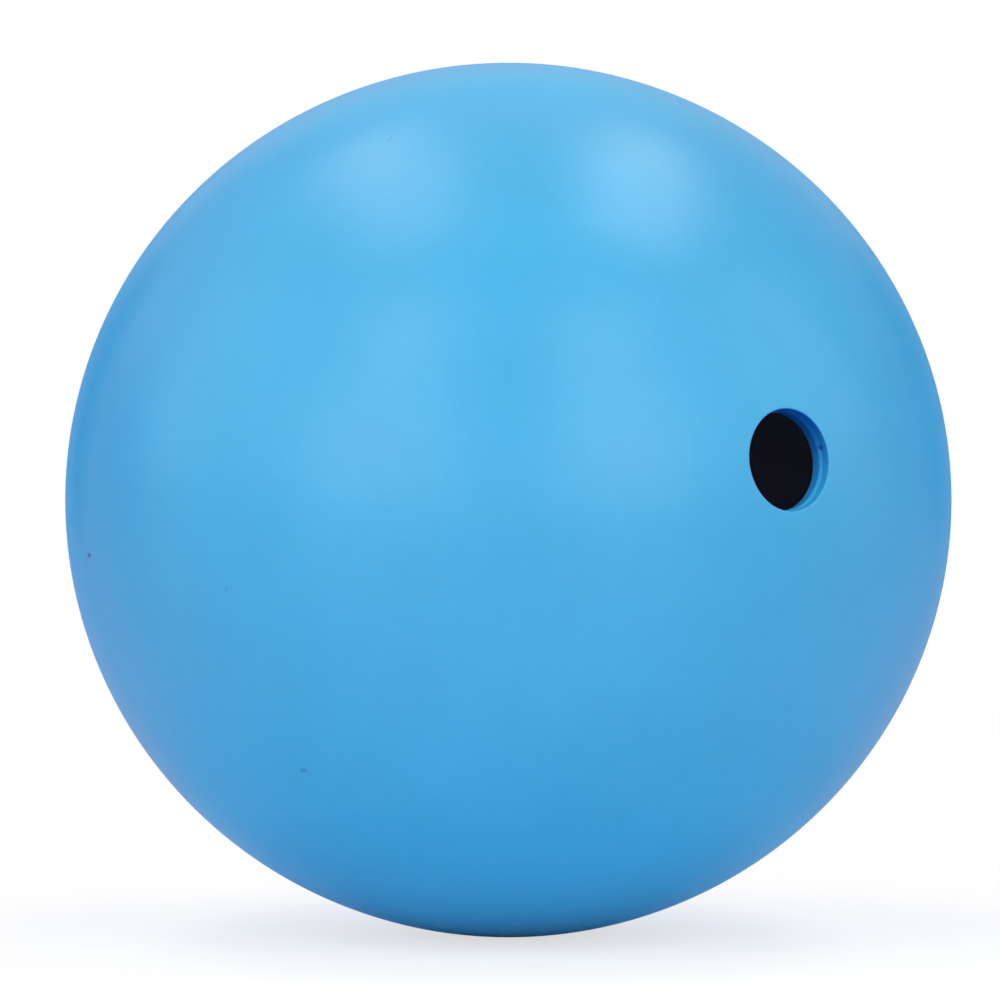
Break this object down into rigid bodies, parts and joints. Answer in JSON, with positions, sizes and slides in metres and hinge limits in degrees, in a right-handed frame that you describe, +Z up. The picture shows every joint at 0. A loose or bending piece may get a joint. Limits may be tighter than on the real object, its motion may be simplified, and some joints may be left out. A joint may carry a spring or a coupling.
{
  "type": "hockey ball",
  "caption": "Hollow moulded plastic ball for street or floor hockey, with a small stepped round hole through its wall.",
  "frame": {"origin": "centre of the ball's bounding box", "axes": "+Z up, through the ball's slightly flattened poles; +X towards the hole, whose axis points 5.7 degrees above +X"},
  "size_m": [0.068, 0.068, 0.0672],
  "materials": {
    "shell": "satin, light blue, coloured right through"
  },
  "bodies": {
    "root": {"ball_shell": "shell"}
  },
  "joints": []
}
